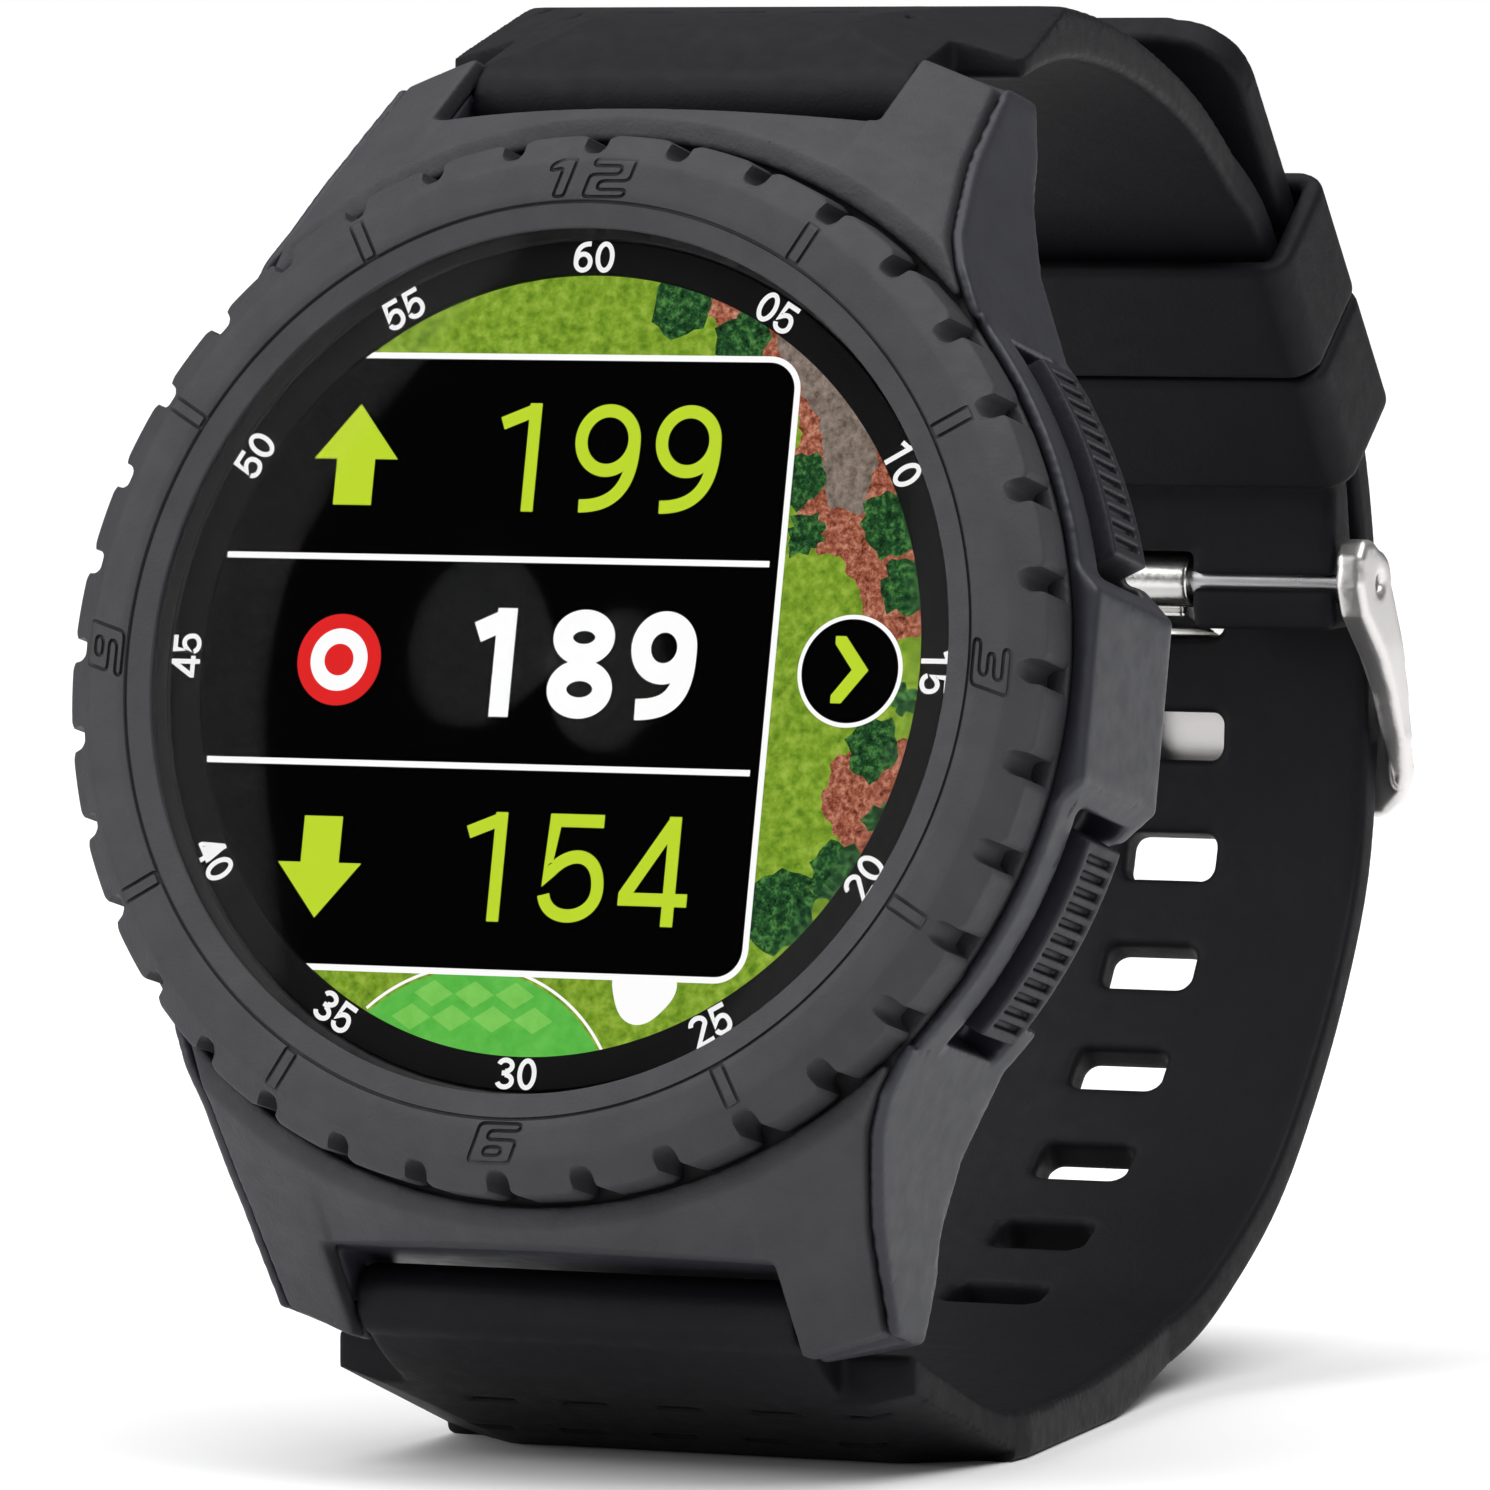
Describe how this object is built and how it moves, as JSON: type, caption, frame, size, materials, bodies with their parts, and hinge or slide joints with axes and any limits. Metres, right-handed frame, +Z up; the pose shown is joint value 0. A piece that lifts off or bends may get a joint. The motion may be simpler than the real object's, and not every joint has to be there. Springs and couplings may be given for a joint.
{
  "type": "golf gps watch",
  "caption": "Round golf GPS watch with a notched turning bezel, colour distance screen, two side pushers and a closed rubber strap with pin buckle and keepers.",
  "frame": {"origin": "centre of the watch's bounding box, on the ground under the closed strap, which stands on its flattened lower run", "axes": "+X to the three o'clock side with the pushers, +Y from the dial towards the buckle behind it, +Z up; the dial looks towards -Y and leans back 12.7 degrees"},
  "size_m": [0.0493, 0.0831, 0.0661],
  "materials": {
    "shell_plastic": "fine sand-like texture, matt",
    "case_plastic": "smooth satin, slightly blue grey",
    "back_plastic": "satin",
    "bezel_plastic": "fine textured top with smooth bevels",
    "seal_rubber": "matt",
    "screw_steel": "zinc plated",
    "insert_brass": "knurled brass",
    "spring_steel": "bright drawn",
    "cover_glass": "clear, polished",
    "dial_black": "black print with white minute numbers",
    "display_screen": "lit colour screen with three distances",
    "flex_film": "copper film",
    "chassis_plastic": "moulded",
    "board_green": "solder mask",
    "chip_black": "moulded",
    "antenna_ceramic": "ceramic",
    "battery_can": "foil pouch",
    "foam_pad": "foam",
    "contact_gold": "gold plated",
    "switch_cream": "moulded",
    "button_plastic": "satin with grip ribs",
    "bar_steel": "ground",
    "strap_rubber": "silicone rubber, fine matt grain",
    "keeper_rubber": "silicone rubber, fine matt grain",
    "buckle_steel": "satin with polished bevels",
    "tongue_steel": "polished"
  },
  "bodies": {
    "watch": {"top_shell": "shell_plastic", "mid_case": "case_plastic", "back_cover": "back_plastic", "back_gasket": "seal_rubber", "back_screws": "screw_steel", "screw_inserts": "insert_brass", "bezel_snap_ring": "spring_steel", "cover_glass": "cover_glass", "lens_gasket": "seal_rubber", "dial_ring": "dial_black", "display_module": "display_screen", "display_flex": "flex_film", "inner_chassis": "chassis_plastic", "main_pcb": "board_green", "pcb_chips": "chip_black", "gps_antenna": "antenna_ceramic", "battery": "battery_can", "battery_pad": "foam_pad", "vibration_motor": "spring_steel", "charging_contacts": "contact_gold", "button_switches": "switch_cream", "button_seals": "seal_rubber", "upper_lug_bar": "bar_steel", "lower_lug_bar": "bar_steel", "lug_bar_tips": "bar_steel", "upper_strap": "strap_rubber", "lower_strap": "strap_rubber", "fixed_keeper": "keeper_rubber"},
    "bezel": {"bezel_ring": "bezel_plastic"},
    "upper_button": {"upper_button": "button_plastic", "upper_button_clip": "spring_steel"},
    "lower_button": {"lower_button": "button_plastic", "lower_button_clip": "spring_steel"},
    "free_keeper": {"free_keeper": "keeper_rubber"},
    "buckle": {"buckle_frame": "buckle_steel", "buckle_bar": "bar_steel", "buckle_bar_tips": "bar_steel"},
    "tongue": {"buckle_tongue": "tongue_steel"}
  },
  "joints": [
    {"name": "bezel_turn", "type": "hinge", "parent": "watch", "child": "bezel", "pos_m": [-0.00025, -0.03518, 0.03685], "axis": [0, -0.9755, 0.2198], "continuous": true},
    {"name": "upper_button_press", "type": "slide", "parent": "watch", "child": "upper_button", "axis": [-0.8973, -0.0971, -0.4307], "range_m": [0, 0.0008], "stiffness_N_per_m": 2500, "springref_m": -0.0004},
    {"name": "lower_button_press", "type": "slide", "parent": "watch", "child": "lower_button", "axis": [-0.8973, 0.0971, 0.4307], "range_m": [0, 0.0008], "stiffness_N_per_m": 2500, "springref_m": -0.0004},
    {"name": "keeper_slide", "type": "slide", "parent": "watch", "child": "free_keeper", "axis": [0, -0.6334, 0.7738], "range_m": [0, 0.0015]},
    {"name": "buckle_swing", "type": "hinge", "parent": "watch", "child": "buckle", "pos_m": [-0.00025, 0.03302, 0.03805], "axis": [1, 0, 0], "range_deg": [0, 8]},
    {"name": "tongue_lift", "type": "hinge", "parent": "buckle", "child": "tongue", "pos_m": [-0.00025, 0.03302, 0.03805], "axis": [1, 0, 0], "range_deg": [0, 6]}
  ]
}
